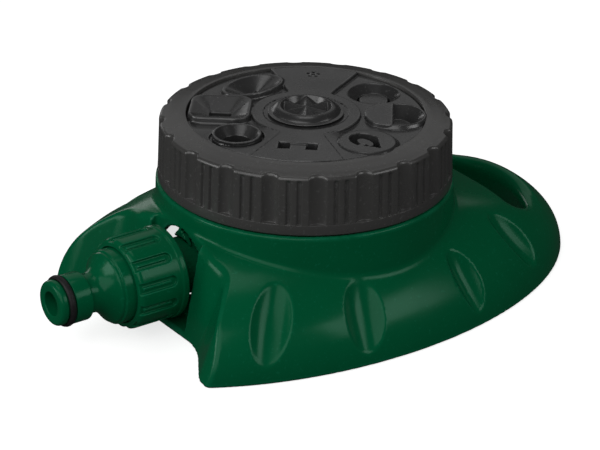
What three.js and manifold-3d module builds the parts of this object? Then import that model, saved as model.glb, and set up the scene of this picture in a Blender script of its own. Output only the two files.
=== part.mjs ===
// Eight-pattern turret lawn sprinkler on a hollow carry base.
// Millimetres, +Z up. The origin is the middle of the bounding box on the resting plane.
// The hose joins at -X, the carry handle is at +X, and the shape mirrors about the XZ plane.

import * as THREE from 'three';
import { mergeVertices } from 'three/addons/utils/BufferGeometryUtils.js';
import Module from 'manifold-3d';

const wasm = await Module();
wasm.setup();

// ---------- driving dimensions ----------

const turretRadius = 51; // over the finger flutes
const inletReach = 104; // turret axis to the hose end of the nipple
const handleReach = 106.3; // turret axis to the end of the handle
const baseHalfWidth = 66.9;
const domeHeight = 39.8; // the base is the upper half of an ellipsoid
const ringFoot = 41.6; // underside of the turret's grip ring
const ringTop = 62.4; // outer edge of the turret's top
const discTop = 64.4; // flat top of the pattern disc
const inletHeight = 19.4; // hose axis above the ground
const wall = 2.4; // moulded wall
const gap = 0.3; // clearance between pieces that touch

const turretX = (inletReach - handleReach) / 2;
const restTurn = THREE.MathUtils.degToRad(5); // the turret stands on a detent at this angle
const tall = 60; // cutters reach this far past what they cut
const below = -1; // cutters start this far under the resting plane
const patternCount = 8;
const patternStep = (2 * Math.PI) / patternCount;
const portRadius = 31; // turret axis to the pattern inlets
const portAngle = restTurn + Math.PI; // the outlet port faces the hose side

// ---------- shape helpers ----------

function signedVolume(geometry) {
  const place = geometry.attributes.position;
  const index = geometry.index;
  const a = new THREE.Vector3();
  const b = new THREE.Vector3();
  const c = new THREE.Vector3();
  let six = 0;
  for (let i = 0; i < index.count; i += 3) {
    a.fromBufferAttribute(place, index.getX(i));
    b.fromBufferAttribute(place, index.getX(i + 1));
    c.fromBufferAttribute(place, index.getX(i + 2));
    six += a.dot(b.cross(c));
  }
  return six / 6;
}

function solid(geometry) {
  const bare = geometry.clone();
  bare.deleteAttribute('normal');
  bare.deleteAttribute('uv');
  const merged = mergeVertices(bare, 1e-5);
  const triVerts = new Uint32Array(merged.index.array);
  if (signedVolume(merged) < 0) {
    for (let i = 0; i < triVerts.length; i += 3) {
      [triVerts[i + 1], triVerts[i + 2]] = [triVerts[i + 2], triVerts[i + 1]];
    }
  }
  const vertProperties = new Float32Array(merged.attributes.position.array);
  return new wasm.Manifold(new wasm.Mesh({ numProp: 3, vertProperties, triVerts }));
}

function join(pieces) {
  return pieces.reduce((whole, piece) => whole.add(piece));
}

function cut(whole, tools) {
  return tools.reduce((rest, tool) => rest.subtract(tool), whole);
}

// A body turned about the Z axis through (x, y), from a profile of [radius, z] corners.
function turned(profile, { x = 0, y = 0, sides = 32 } = {}) {
  const closed = [...profile, profile[0]].map(([r, z]) => new THREE.Vector2(r, z));
  const geometry = new THREE.LatheGeometry(closed, sides);
  geometry.rotateX(Math.PI / 2);
  geometry.translate(x, y, 0);
  return solid(geometry);
}

// A body turned about the hose axis, from a profile of [radius, x] corners.
function turnedOnHose(profile, sides = 32) {
  const closed = [...profile, profile[0]].map(([r, x]) => new THREE.Vector2(r, x));
  const geometry = new THREE.LatheGeometry(closed, sides);
  geometry.rotateZ(-Math.PI / 2);
  geometry.translate(0, 0, inletHeight);
  return solid(geometry);
}

function post(radius, low, high, options = {}) {
  return turned([[0, low], [radius, low], [radius, high], [0, high]], options);
}

function sleeve(inner, outer, low, high, options = {}) {
  return turned([[inner, low], [outer, low], [outer, high], [inner, high]], options);
}

function block(left, right, front, back, low, high) {
  const geometry = new THREE.BoxGeometry(right - left, back - front, high - low);
  geometry.translate((left + right) / 2, (front + back) / 2, (low + high) / 2);
  return solid(geometry);
}

function prism(shape, low, high) {
  const depth = high - low;
  const geometry = new THREE.ExtrudeGeometry(shape, { depth, bevelEnabled: false, curveSegments: 8 });
  geometry.translate(0, 0, low);
  return solid(geometry);
}

// A straight-sided body between two plan outlines with the same number of points.
function draftedPrism(lower, upper, low, high) {
  const count = lower.length;
  const places = [];
  lower.forEach(([x, y]) => places.push(x, y, low));
  upper.forEach(([x, y]) => places.push(x, y, high));
  const contour = lower.map(([x, y]) => new THREE.Vector2(x, y));
  const index = [];
  THREE.ShapeUtils.triangulateShape(contour, []).forEach(([a, b, c]) => {
    index.push(a, c, b);
    index.push(a + count, b + count, c + count);
  });
  for (let i = 0; i < count; i += 1) {
    const next = (i + 1) % count;
    index.push(i, next, next + count);
    index.push(i, next + count, i + count);
  }
  const geometry = new THREE.BufferGeometry();
  geometry.setAttribute('position', new THREE.Float32BufferAttribute(places, 3));
  geometry.setIndex(index);
  return solid(geometry);
}

// Profile of a seal ring: a round section about a middle radius.
function roundSection(middle, thickness) {
  const profile = [];
  const corners = 6;
  for (let i = 0; i < corners; i += 1) {
    const angle = (2 * Math.PI * i) / corners;
    profile.push([middle + thickness * Math.cos(angle), thickness * Math.sin(angle)]);
  }
  return profile;
}

function coil({ x, y, low, high, radius, wire, turns }) {
  class Helix extends THREE.Curve {
    getPoint(t) {
      const angle = 2 * Math.PI * turns * t;
      const z = low + wire + (high - low - 2 * wire) * t;
      return new THREE.Vector3(x + radius * Math.cos(angle), y + radius * Math.sin(angle), z);
    }
  }
  const section = new THREE.Shape();
  const corners = 5;
  const stepsPerTurn = 10;
  for (let i = 0; i < corners; i += 1) {
    const angle = (2 * Math.PI * i) / corners;
    const corner = [wire * Math.cos(angle), wire * Math.sin(angle)];
    if (i === 0) section.moveTo(...corner);
    else section.lineTo(...corner);
  }
  section.closePath();
  const steps = Math.round(turns * stepsPerTurn);
  const geometry = new THREE.ExtrudeGeometry(section, {
    extrudePath: new Helix(), steps, bevelEnabled: false,
  });
  return solid(geometry);
}

function onCircle(radius, angle) {
  return { x: radius * Math.cos(angle), y: radius * Math.sin(angle) };
}

// ---------- materials ----------

const finish = {
  green: { color: 0x0a4a30, roughness: 0.34, metalness: 0 },
  black: { color: 0x2b2b2d, roughness: 0.42, metalness: 0 },
  rubber: { color: 0x101010, roughness: 0.7, metalness: 0 },
  white: { color: 0xd8d8d2, roughness: 0.45, metalness: 0 },
  steel: { color: 0xb4b6b8, roughness: 0.28, metalness: 1 },
};

function part(name, body, look) {
  const { vertProperties, triVerts } = body.getMesh();
  const geometry = new THREE.BufferGeometry();
  geometry.setAttribute('position', new THREE.Float32BufferAttribute(vertProperties, 3));
  geometry.setIndex(new THREE.Uint32BufferAttribute(triVerts, 1));
  geometry.computeVertexNormals();
  const mesh = new THREE.Mesh(geometry, new THREE.MeshStandardMaterial(look));
  mesh.name = name;
  return mesh;
}

// ---------- base shell ----------

const collarRadius = 52.3;
const collarFoot = 20; // inside the dome
const collarFlare = 1.2; // the collar widens this much down to its foot
const collarTop = ringFoot - 0.5;
const deckTop = 39.2;
const deckFoot = deckTop - wall;
const pocketRadius = collarRadius - wall;
const postRadius = 6;
const postTop = 60;
const portHoleRadius = 8.4;
const detentRadius = 41; // turret axis to the detent plunger
const detentSpot = onCircle(detentRadius, restTurn + Math.PI / 2);
const detentBore = 2.3;
const detentBossRadius = 4;
const detentBossTop = 42;
const detentBossFoot = 29;
const detentSeat = detentBossFoot + 1.6;
const screwBossRadius = 3.2;
const screwBossTop = 43;
const screwHole = 1.7;
const pivotScrewHole = 1.9;
const port = onCircle(portRadius, portAngle);
const screwReach = 11.5; // channel screws, each way from the port
const screwSpots = [[-1, -1], [1, -1], [1, 1], [-1, 1]].map(([sx, sy]) => ({
  x: port.x + sx * screwReach,
  y: port.y + sy * screwReach,
}));
const slotInner = 70; // handle slot, edge towards the turret
const slotOuter = 88;
const slotHalfLength = 33;
const pocketEnd = -52.4; // the inlet pocket lets the hose nut into the base
const pocketHalf = 14.6;
const spigotRadius = 13.8;

// The upper half of an ellipsoid, with a straight skirt down from its widest level.
function dome(length, width, height, skirt = 0) {
  const rows = 8;
  const sides = 56;
  const profile = skirt > 0 ? [[0, -skirt], [length, -skirt]] : [[0, 0]];
  for (let i = 0; i < rows; i += 1) {
    const lift = ((Math.PI / 2) * i) / rows;
    profile.push([length * Math.cos(lift), height * Math.sin(lift)]);
  }
  profile.push([0, height]);
  const points = profile.map(([r, z]) => new THREE.Vector2(r, z));
  const geometry = new THREE.LatheGeometry([...points, points[0]], sides);
  geometry.rotateX(Math.PI / 2);
  geometry.scale(1, width / length, 1);
  return solid(geometry);
}

// The flat that slopes from the collar to the handle bar.
function handleFlat(lowering) {
  const fall = 0.28;
  const near = 40;
  const far = 140;
  const nearHeight = 34.1 - lowering;
  const shape = new THREE.Shape();
  shape.moveTo(near, nearHeight);
  shape.lineTo(far, nearHeight - (far - near) * fall);
  shape.lineTo(far, 80);
  shape.lineTo(near, 80);
  shape.closePath();
  const halfSpan = 80;
  const geometry = new THREE.ExtrudeGeometry(shape, { depth: 2 * halfSpan, bevelEnabled: false });
  geometry.rotateX(Math.PI / 2);
  geometry.translate(0, halfSpan, 0);
  return solid(geometry);
}

// Plan of the notch around the hose nut at a given height: a back wall that leans a little, and
// two splayed horns whose inner faces lean twice as much.
function notchPlan(setBack, height) {
  const wallLean = 0.2;
  const hornLean = 0.4;
  const half = [
    [-61, 19, wallLean],
    [-62.2, 25, hornLean],
    [-72.2, 40.5, hornLean],
    [-73.6, 43.5, hornLean],
    [-73.8, 47, hornLean],
    [-79, 62, hornLean],
    [-140, 80, 0],
  ].map(([x, y, lean]) => [x + setBack + lean * height, y]);
  const mirrored = half.map(([x, y]) => [x, -y]).reverse();
  return [...mirrored, ...half];
}

function notch(setBack) {
  const notchHeight = 45;
  return draftedPrism(notchPlan(setBack, below), notchPlan(setBack, notchHeight), below, notchHeight);
}

function slotShape(grow) {
  const shape = new THREE.Shape();
  const inner = slotInner - grow;
  const reach = slotHalfLength + grow;
  const corner = 4 + grow;
  shape.moveTo(inner, reach - corner);
  shape.quadraticCurveTo(inner, reach, inner + corner, reach);
  shape.quadraticCurveTo(slotOuter + grow, 0.62 * reach, slotOuter + grow, 0);
  shape.quadraticCurveTo(slotOuter + grow, -0.62 * reach, inner + corner, -reach);
  shape.quadraticCurveTo(inner, -reach, inner, corner - reach);
  shape.closePath();
  return shape;
}

function baseShell() {
  const outside = dome(handleReach, baseHalfWidth, domeHeight).subtract(handleFlat(0));
  const collar = turned([
    [0, collarFoot], [collarRadius + collarFlare, collarFoot], [collarRadius, collarTop], [0, collarTop],
  ], { sides: 64 });
  const inner = cut(dome(handleReach - wall, baseHalfWidth - wall, domeHeight - wall, -below), [
    handleFlat(wall),
    block(-tall, tall, -tall, tall, deckFoot, tall),
  ]);
  const underDeck = post(pocketRadius, collarFoot - 5, deckFoot, { sides: 64 });
  const half = pocketHalf;
  const hollow = cut(inner.add(underDeck), [
    notch(wall),
    prism(slotShape(wall), below, tall),
    block(-2 * tall, pocketEnd + wall, -half - wall, half + wall, below - 1, tall),
  ]);

  const turretPocket = post(pocketRadius, deckTop, tall, { sides: 64 });
  const inletPocket = block(-2 * tall, pocketEnd, -half, half, wall, tall);
  const slot = prism(slotShape(0), below, tall);
  const spigotHole = turnedOnHose([
    [0, pocketEnd - 1], [spigotRadius + gap, pocketEnd - 1],
    [spigotRadius + gap, pocketEnd + wall + 1], [0, pocketEnd + wall + 1],
  ]);
  const shell = cut(outside.add(collar), [notch(0), hollow, turretPocket, inletPocket, slot, spigotHole]);

  const pivot = post(postRadius, deckFoot, postTop, { sides: 24 });
  const detentBoss = post(detentBossRadius, detentBossFoot, detentBossTop, { ...detentSpot, sides: 20 });
  const screwBosses = screwSpots.map((spot) => (
    post(screwBossRadius, deckFoot, screwBossTop, { ...spot, sides: 16 })
  ));
  const fitted = join([shell, pivot, detentBoss, ...screwBosses]);
  return cut(fitted, [
    post(pivotScrewHole, 44, postTop + 1, { sides: 16 }),
    post(portHoleRadius, collarFoot, tall, { ...port, sides: 24 }),
    post(detentBore, detentSeat, tall, { ...detentSpot, sides: 16 }),
    ...screwSpots.map((spot) => post(screwHole, deckFoot - 1, screwBossTop - 1, { ...spot, sides: 12 })),
  ]);
}

// ---------- water channel inside the base ----------

const spigotFace = -74.2;
const spigotBore = 9.5;
const neckRadius = 10;
const neckBore = 6.5;
const channelEnd = port.x + 12;
const riserRadius = 8;
const riserTop = 41.7;
const riserBore = 5;
const springSeat = 27;
const flangeTop = deckFoot - gap;
const flangeFoot = flangeTop - 2.6;

function waterChannel() {
  const spigot = turnedOnHose([
    [0, spigotFace], [spigotRadius - 0.8, spigotFace], [spigotRadius, spigotFace + 0.8],
    [spigotRadius, -63.5], [neckRadius, -61.5], [neckRadius, channelEnd], [0, channelEnd],
  ]);
  const riser = post(riserRadius, inletHeight, riserTop, { ...port, sides: 32 });
  const reach = 15.5;
  const plate = block(
    port.x - reach, port.x + reach, port.y - reach, port.y + reach, flangeFoot, flangeTop,
  );
  const flange = cut(plate, screwSpots.map((spot) => (
    post(2, flangeFoot - 1, flangeTop + 1, { ...spot, sides: 12 })
  )));
  const webHalf = 1.2;
  const web = block(
    port.x - 14, port.x + 12, port.y - webHalf, port.y + webHalf, inletHeight, flangeFoot + 1,
  );
  const waterway = turnedOnHose([
    [0, spigotFace - 1], [spigotBore, spigotFace - 1], [spigotBore, -64], [neckBore, -60],
    [neckBore, channelEnd + 1], [0, channelEnd + 1],
  ], 32);
  return cut(join([spigot, riser, flange, web]), [
    waterway,
    post(riserBore, springSeat, riserTop + 1, { ...port, sides: 24 }),
    post(3, inletHeight, springSeat + 1, { ...port, sides: 16 }),
  ]);
}

function channelPlug() {
  const flange = 8.6;
  const stem = neckBore - gap;
  return turnedOnHose([
    [0, channelEnd - 5], [stem - 0.6, channelEnd - 5], [stem, channelEnd - 4.4], [stem, channelEnd + gap],
    [flange, channelEnd + gap], [flange, channelEnd + 2.2], [0, channelEnd + 2.2],
  ], 32);
}

function housingScrew(spot) {
  const headTop = flangeFoot - gap;
  const headFoot = headTop - 2.4;
  const shaft = turned([
    [0, headFoot], [3, headFoot], [3.4, headFoot + 0.8], [3.4, headTop],
    [1.3, headTop], [1.3, 41], [0.4, 41.6], [0, 41.6],
  ], { ...spot, sides: 12 });
  const arm = 2.1;
  const half = 0.45;
  const deep = headFoot + 1.2;
  return cut(shaft, [
    block(spot.x - arm, spot.x + arm, spot.y - half, spot.y + half, headFoot - 1, deep),
    block(spot.x - half, spot.x + half, spot.y - arm, spot.y + arm, headFoot - 1, deep),
  ]);
}

// ---------- outlet port ----------

const plateFoot = 44.5; // underside of the turret's lower plate
const sealFoot = springSeat + 7;
const plungerFoot = 34.5;

function portSeal() {
  const bore = 2.8;
  const stem = riserBore - gap;
  const lipFoot = 43;
  const face = plateFoot - gap;
  return turned([
    [bore, sealFoot], [stem, sealFoot], [stem, lipFoot], [6.6, lipFoot], [6.9, lipFoot + 0.3],
    [6.6, face], [bore, face],
  ], { ...port, sides: 24 });
}

function portSpring() {
  return coil({ ...port, low: springSeat + gap, high: sealFoot - gap, radius: 3.7, wire: 0.45, turns: 4 });
}

function detentPlunger() {
  const radius = detentBore - gap;
  const top = plateFoot - gap;
  return turned([
    [0, plungerFoot], [radius, plungerFoot], [radius, top - 1.6], [radius * 0.87, top - 0.8],
    [radius * 0.5, top - 0.2], [0, top],
  ], { ...detentSpot, sides: 20 });
}

function detentSpring() {
  const low = detentSeat + gap;
  return coil({ ...detentSpot, low, high: plungerFoot - gap, radius: 1.5, wire: 0.25, turns: 4 });
}

function pivotSeal() {
  const thickness = 1.2;
  const lift = deckTop + thickness + gap;
  const profile = roundSection(postRadius + thickness + gap, thickness);
  return turned(profile.map(([r, z]) => [r, z + lift]), { sides: 24 });
}

// ---------- turret ----------

const fluteCount = 20;
const fluteHalfAngle = THREE.MathUtils.degToRad(3.2);
const fluteDepth = 1.6;
const grooveOffset = THREE.MathUtils.degToRad(6.95); // either side of a flute's middle
const grooveHalfAngle = THREE.MathUtils.degToRad(0.9);
const grooveDepth = 0.9;
const bandTop = ringFoot + 3.5;
const bandRadius = turretRadius + 0.7;
const discRadius = 41.3;
const discFoot = 59.2; // step under the disc's rim
const innerRing = 48;
const plateTop = 56.6; // underside of the pattern disc

// Plan outline of the grip: each step has one broad flute and a narrow groove on each side of it.
function gripOutline() {
  const shape = new THREE.Shape();
  const step = (2 * Math.PI) / fluteCount;
  const corners = [];
  const fluteSteps = 5;
  for (let flute = 0; flute < fluteCount; flute += 1) {
    const middle = flute * step;
    for (let i = 0; i <= fluteSteps; i += 1) {
      const across = (2 * i) / fluteSteps - 1;
      corners.push([turretRadius - fluteDepth * (1 - across * across), middle + across * fluteHalfAngle]);
    }
    [grooveOffset, step - grooveOffset].forEach((offset) => {
      const centre = middle + offset;
      corners.push([turretRadius, centre - grooveHalfAngle]);
      corners.push([turretRadius - grooveDepth, centre - grooveHalfAngle * 0.7]);
      corners.push([turretRadius - grooveDepth, centre + grooveHalfAngle * 0.7]);
      corners.push([turretRadius, centre + grooveHalfAngle]);
    });
  }
  corners.forEach(([r, angle], i) => {
    const place = [r * Math.cos(angle), r * Math.sin(angle)];
    if (i === 0) shape.moveTo(...place);
    else shape.lineTo(...place);
  });
  shape.closePath();
  return shape;
}

function gripRing() {
  const fluted = prism(gripOutline(), bandTop - 0.5, discTop);
  const envelope = turned([
    [0, ringFoot], [turretRadius + 2, ringFoot], [turretRadius + 2, ringTop], [turretRadius, ringTop],
    [discRadius + gap, discTop - 0.2], [0, discTop - 0.2],
  ], { sides: 80 });
  const band = sleeve(innerRing, bandRadius, ringFoot, bandTop, { sides: 80 });
  const cavity = turned([
    [0, ringFoot - 1], [innerRing, ringFoot - 1], [innerRing, discFoot + gap],
    [discRadius + gap, discFoot + gap], [discRadius + gap, discTop + 1], [0, discTop + 1],
  ], { sides: 80 });
  return fluted.intersect(envelope).add(band).subtract(cavity);
}

const hubHole = 11.4;
const hubSeat = 60.2;
const hubLand = 19; // the disc keeps its full height this far from the axis
const recessFloor = 63.2; // two sectors of the disc's top are sunk to here
const recessSpan = 3 * patternStep;
const recessStarts = [patternStep * 1.5, patternStep * -2.5];
const cupTop = 65.6;
const cupRadii = { 2: 6, 3: 7, 4: 7 }; // three openings stand in raised cups
const jetRadius = 2; // bore at the foot of each opening
const sprayRadii = [7.5, 1.2, 4.4, 5.4, 5.2, 2, 2, 7.5]; // mouth of each opening
const aboveDisc = 70; // cutters for the disc reach from here
const underDisc = 50; // to here

function recess(start) {
  const shape = new THREE.Shape();
  const outer = discRadius + 1;
  shape.absarc(0, 0, outer, start, start + recessSpan, false);
  shape.absarc(0, 0, hubLand, start + recessSpan, start, true);
  shape.closePath();
  return prism(shape, recessFloor, aboveDisc);
}

// A plain hole where the mouth is no wider than the jet, and otherwise a dish over the jet.
function sprayOpening(spot, mouth) {
  if (mouth <= jetRadius) return post(mouth, underDisc, aboveDisc, { ...spot, sides: 12 });
  const dishFoot = discTop - 2.5;
  const flare = 0.5;
  return turned([
    [0, underDisc], [jetRadius, underDisc], [jetRadius, dishFoot], [mouth, dishFoot + 1.5],
    [mouth + flare, aboveDisc], [0, aboveDisc],
  ], { ...spot, sides: 24 });
}

// Spray openings, one for each pattern, in a plate with two sunken sectors.
function patternDisc() {
  const plate = turned([
    [0, plateTop], [innerRing - gap, plateTop], [innerRing - gap, discFoot], [discRadius, discFoot],
    [discRadius, discTop], [0, discTop],
  ], { sides: 72 });
  const spots = sprayRadii.map((mouth, i) => onCircle(portRadius, i * patternStep));
  const cups = Object.entries(cupRadii).map(([i, radius]) => (
    post(radius, discFoot + 1, cupTop, { ...spots[i], sides: 24 })
  ));
  const sunken = cut(plate, recessStarts.map(recess));
  return cut(join([sunken, ...cups]), [
    ...sprayRadii.map((mouth, i) => sprayOpening(spots[i], mouth)),
    post(hubHole, hubSeat, aboveDisc, { sides: 40 }),
    post(postRadius + gap, underDisc, aboveDisc, { sides: 24 }),
  ]);
}

function lowerPlate() {
  const top = plateTop - 0.4;
  const plate = post(innerRing - gap, plateFoot, plateFoot + 2.6, { sides: 72 });
  const hub = post(9, plateFoot, top, { sides: 24 });
  const chimneys = [];
  const bores = [];
  for (let i = 0; i < patternCount; i += 1) {
    const spot = onCircle(portRadius, i * patternStep);
    chimneys.push(post(6.2, plateFoot, top, { ...spot, sides: 16 }));
    bores.push(post(4.2, plateFoot - 1, top + 1, { ...spot, sides: 16 }));
  }
  const pivotBore = post(postRadius + gap, plateFoot - 1, top + 1, { sides: 24 });
  return cut(join([plate, hub, ...chimneys]), [...bores, pivotBore]);
}

function pivotWasher() {
  return sleeve(pivotScrewHole, 9.5, postTop + gap, postTop + gap + 1, { sides: 24 });
}

function pivotScrew() {
  const seat = postTop + gap + 1 + gap;
  const screw = turned([
    [0, 47], [1.2, 47.6], [1.5, 48.5], [1.5, seat], [4, seat], [4, seat + 1.2],
    [3, seat + 2.2], [0, seat + 2.2],
  ], { sides: 20 });
  const arm = 2.2;
  const half = 0.5;
  const deep = seat + 1;
  return cut(screw, [
    block(-arm, arm, -half, half, deep, seat + 4),
    block(-half, half, -arm, arm, deep, seat + 4),
  ]);
}

function hubCap() {
  const skirt = hubHole - gap;
  const skirtWall = 1.4;
  const skirtFoot = 62.2;
  const brim = 12.4;
  const brimFoot = discTop + gap;
  const rim = 67.1;
  const underside = 64.7;
  return turned([
    [skirt - skirtWall, skirtFoot], [skirt, skirtFoot], [skirt, brimFoot], [brim, brimFoot],
    [brim - 0.6, brimFoot + 0.6], [10.4, rim - 0.3], [9.3, rim], [8.6, rim - 0.5], [0, rim - 1.2],
    [0, underside], [skirt - skirtWall - 0.8, underside], [skirt - skirtWall, underside - 0.7],
  ], { sides: 40 });
}

// ---------- hose inlet ----------

const nutFront = -78.2;
const nutBack = -58.8;
const nutRadius = 16.3;
const flangeFront = -77.2;
const flangeBack = flangeFront + 1.2;
const nippleBore = 4.2;
const nippleEnd = -inletReach;
const sealGroove = 7.3; // radius at the foot of the nipple's seal groove
const sealWidth = 3;
const sealStart = nippleEnd + 2.7;
const clawStart = nippleEnd + 12.3; // groove the hose connector's claws drop into
const clawEnd = nippleEnd + 15.9;

function couplingNut() {
  const bore = spigotRadius + gap;
  const mouth = 13.3;
  const body = turnedOnHose([
    [mouth, nutFront], [14.5, nutFront], [15.7, nutFront + 1.2], [nutRadius - 0.3, nutBack - 3],
    [nutRadius, nutBack - 2.6], [nutRadius, nutBack - 0.4], [nutRadius - 0.4, nutBack], [bore, nutBack],
    [bore, flangeFront + gap], [mouth, flangeFront + gap - 0.5],
  ], 36);
  const grooves = [];
  const grooveCount = 12;
  const grooveLength = 16.4;
  const grooveWidth = 3.4;
  for (let i = 0; i < grooveCount; i += 1) {
    const angle = (2 * Math.PI * (i + 0.5)) / grooveCount;
    const groove = new THREE.BoxGeometry(grooveLength, grooveWidth, 2);
    groove.translate((nutFront + nutBack) / 2 - 2.4, 0, nutRadius - 0.2);
    groove.rotateX(angle);
    groove.translate(0, 0, inletHeight);
    grooves.push(solid(groove));
  }
  return cut(body, grooves);
}

function hoseNipple() {
  const lip = 7.9;
  const sealEnd = sealStart + sealWidth;
  const barrel = 8.5;
  const clawFloor = 6.9;
  const shoulder = 13;
  const shoulderFront = flangeFront - 3.8;
  return turnedOnHose([
    [nippleBore, nippleEnd], [lip - 0.8, nippleEnd], [lip, nippleEnd + 0.8], [lip, sealStart],
    [sealGroove, sealStart], [sealGroove, sealEnd], [barrel, sealEnd], [barrel, clawStart - 0.5],
    [barrel - 0.5, clawStart], [clawFloor, clawStart], [clawFloor, clawEnd], [lip, clawEnd + 1.8],
    [shoulder - 2.8, shoulderFront - 2.6], [shoulder - 0.8, shoulderFront - 1.2],
    [shoulder - 0.7, shoulderFront - 0.2], [shoulder, shoulderFront],
    [shoulder, flangeFront - 0.2], [shoulder + 0.7, flangeFront + 0.6], [shoulder + 0.7, flangeBack],
    [9, flangeBack], [6, flangeBack - 4], [nippleBore, flangeBack - 10],
  ]);
}

function nippleSeal() {
  const thickness = 1.05;
  const middle = sealStart + sealWidth / 2;
  const profile = roundSection(sealGroove + thickness + 0.1, thickness);
  return turnedOnHose(profile.map(([r, along]) => [r, along + middle]));
}

function inletGasket() {
  const front = flangeBack + gap;
  const back = spigotFace - gap;
  const bore = 8.5;
  const outer = 13.2;
  return turnedOnHose([[bore, front], [outer, front], [outer, back], [bore, back]]);
}

// ---------- assembly ----------

const base = new THREE.Group();
base.position.x = turretX;
base.add(part('base_shell', baseShell(), finish.green));
base.add(part('water_channel', waterChannel(), finish.green));
base.add(part('channel_plug', channelPlug(), finish.black));
screwSpots.forEach((spot, i) => base.add(part(`housing_screw_${i + 1}`, housingScrew(spot), finish.steel)));
base.add(part('port_seal', portSeal(), finish.rubber));
base.add(part('port_spring', portSpring(), finish.steel));
base.add(part('detent_plunger', detentPlunger(), finish.white));
base.add(part('detent_spring', detentSpring(), finish.steel));
base.add(part('pivot_seal', pivotSeal(), finish.rubber));
base.add(part('pivot_washer', pivotWasher(), finish.steel));
base.add(part('pivot_screw', pivotScrew(), finish.steel));
base.add(part('coupling_nut', couplingNut(), finish.green));
base.add(part('hose_nipple', hoseNipple(), finish.green));
base.add(part('nipple_seal', nippleSeal(), finish.rubber));
base.add(part('inlet_gasket', inletGasket(), finish.rubber));

const turret = new THREE.Group();
turret.rotation.z = restTurn;
turret.add(part('grip_ring', gripRing(), finish.black));
turret.add(part('pattern_disc', patternDisc(), finish.black));
turret.add(part('lower_plate', lowerPlate(), finish.black));
turret.add(part('hub_cap', hubCap(), finish.black));
base.add(turret);

const group = new THREE.Group();
group.add(base);
export default group;
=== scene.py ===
import math

import bpy
import numpy as np
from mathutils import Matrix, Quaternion, Vector


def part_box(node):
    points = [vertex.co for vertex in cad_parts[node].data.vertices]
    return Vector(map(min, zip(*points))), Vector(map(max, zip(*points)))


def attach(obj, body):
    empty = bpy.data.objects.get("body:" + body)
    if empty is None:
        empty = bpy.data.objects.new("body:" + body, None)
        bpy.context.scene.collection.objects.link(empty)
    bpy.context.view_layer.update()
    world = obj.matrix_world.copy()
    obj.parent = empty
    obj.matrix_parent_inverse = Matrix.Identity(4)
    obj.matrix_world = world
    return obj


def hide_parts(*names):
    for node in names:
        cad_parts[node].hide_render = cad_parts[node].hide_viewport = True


# An eight-pattern turret lawn sprinkler on a hollow carry base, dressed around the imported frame.
# Shapes are built in millimetres from the turret's axis, hose at -X, and placed in metres by stand_up().

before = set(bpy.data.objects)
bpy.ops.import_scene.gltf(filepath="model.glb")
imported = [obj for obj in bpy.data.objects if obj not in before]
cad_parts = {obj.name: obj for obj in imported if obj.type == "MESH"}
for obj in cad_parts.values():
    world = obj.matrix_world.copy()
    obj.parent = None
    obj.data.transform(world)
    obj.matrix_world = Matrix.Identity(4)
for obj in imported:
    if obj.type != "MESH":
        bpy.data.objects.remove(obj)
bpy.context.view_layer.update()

MM = 0.001


# ---------- sizes read from the frame ----------

def box_mm(node):
    low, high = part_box(node)
    return np.array(low) / MM, np.array(high) / MM


ring_low, ring_high = box_mm("grip_ring")
shell_low, shell_high = box_mm("base_shell")
nut_low, nut_high = box_mm("coupling_nut")
nipple_low, nipple_high = box_mm("hose_nipple")
cap_top = box_mm("hub_cap")[1][2]
plate_low, plate_high = box_mm("lower_plate")
seal_low, seal_high = box_mm("nipple_seal")

turret_x = (plate_low[0] + plate_high[0]) / 2
turret_spot = turret_x * MM
wall = 2.4
gap = 0.3
handle_reach = shell_high[0] - turret_x
half_width = shell_high[1]
dome_height = 39.8
inlet_height = (nut_low[2] + nut_high[2]) / 2
band_radius = ring_high[1]
ring_radius = band_radius - 0.7
ring_foot = ring_low[2]
band_top = ring_foot + 3.7
disc_top = 64.4
rest_turn = math.radians(5)


# ---------- shapes as distance functions ----------
# Each shape is a function of x, y, z in millimetres, below zero inside.

def soft_max(a, b, blend=0.0):
    """Keeps what both shapes share, with the edge rounded over about `blend` millimetres."""
    blend = np.maximum(blend, 1e-6)
    share = np.maximum(blend - np.abs(a - b), 0) / blend
    return np.maximum(a, b) + share * share * blend / 4


def soft_min(a, b, blend=0.0):
    """Joins two shapes, with a fillet of about `blend` millimetres."""
    return -soft_max(-a, -b, blend)


def carve(a, b, blend=0.0):
    """Takes shape b out of shape a."""
    return soft_max(a, -b, blend)


def ramp(t, blend):
    """Zero below zero and t above it, with a smooth bend."""
    return soft_max(t, 0 * t, blend)


def step(t, low, high):
    """Rises smoothly from 0 at low to 1 at high."""
    s = np.clip((t - low) / (high - low), 0, 1)
    return s * s * (3 - 2 * s)


def ellipsoid(x, y, z, a, b, c):
    inner = np.sqrt((x / a) ** 2 + (y / b) ** 2 + (z / c) ** 2)
    outer = np.sqrt((x / a**2) ** 2 + (y / b**2) ** 2 + (z / c**2) ** 2)
    return inner * (inner - 1) / np.maximum(outer, 1e-6)


def between(t, low, high):
    """A slab from low to high."""
    return np.maximum(low - t, t - high)


def box_shape(dx, dy, dz, half_x, half_y, half_z, corner=0.0):
    """A box round the origin with rounded edges."""
    qx = np.abs(dx) - half_x + corner
    qy = np.abs(dy) - half_y + corner
    qz = np.abs(dz) - half_z + corner
    outside = np.sqrt(np.maximum(qx, 0) ** 2 + np.maximum(qy, 0) ** 2 + np.maximum(qz, 0) ** 2)
    return outside + np.minimum(np.maximum(qx, np.maximum(qy, qz)), 0) - corner


def rounded_rectangle(dx, dy, half_x, half_y, corner):
    qx = np.abs(dx) - half_x + corner
    qy = np.abs(dy) - half_y + corner
    return np.hypot(np.maximum(qx, 0), np.maximum(qy, 0)) + np.minimum(np.maximum(qx, qy), 0) - corner


def post(x, y, z, radius, low, high, blend=0.0):
    """An upright cylinder from low to high."""
    return soft_max(np.hypot(x, y) - radius, between(z, low, high), blend)


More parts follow.
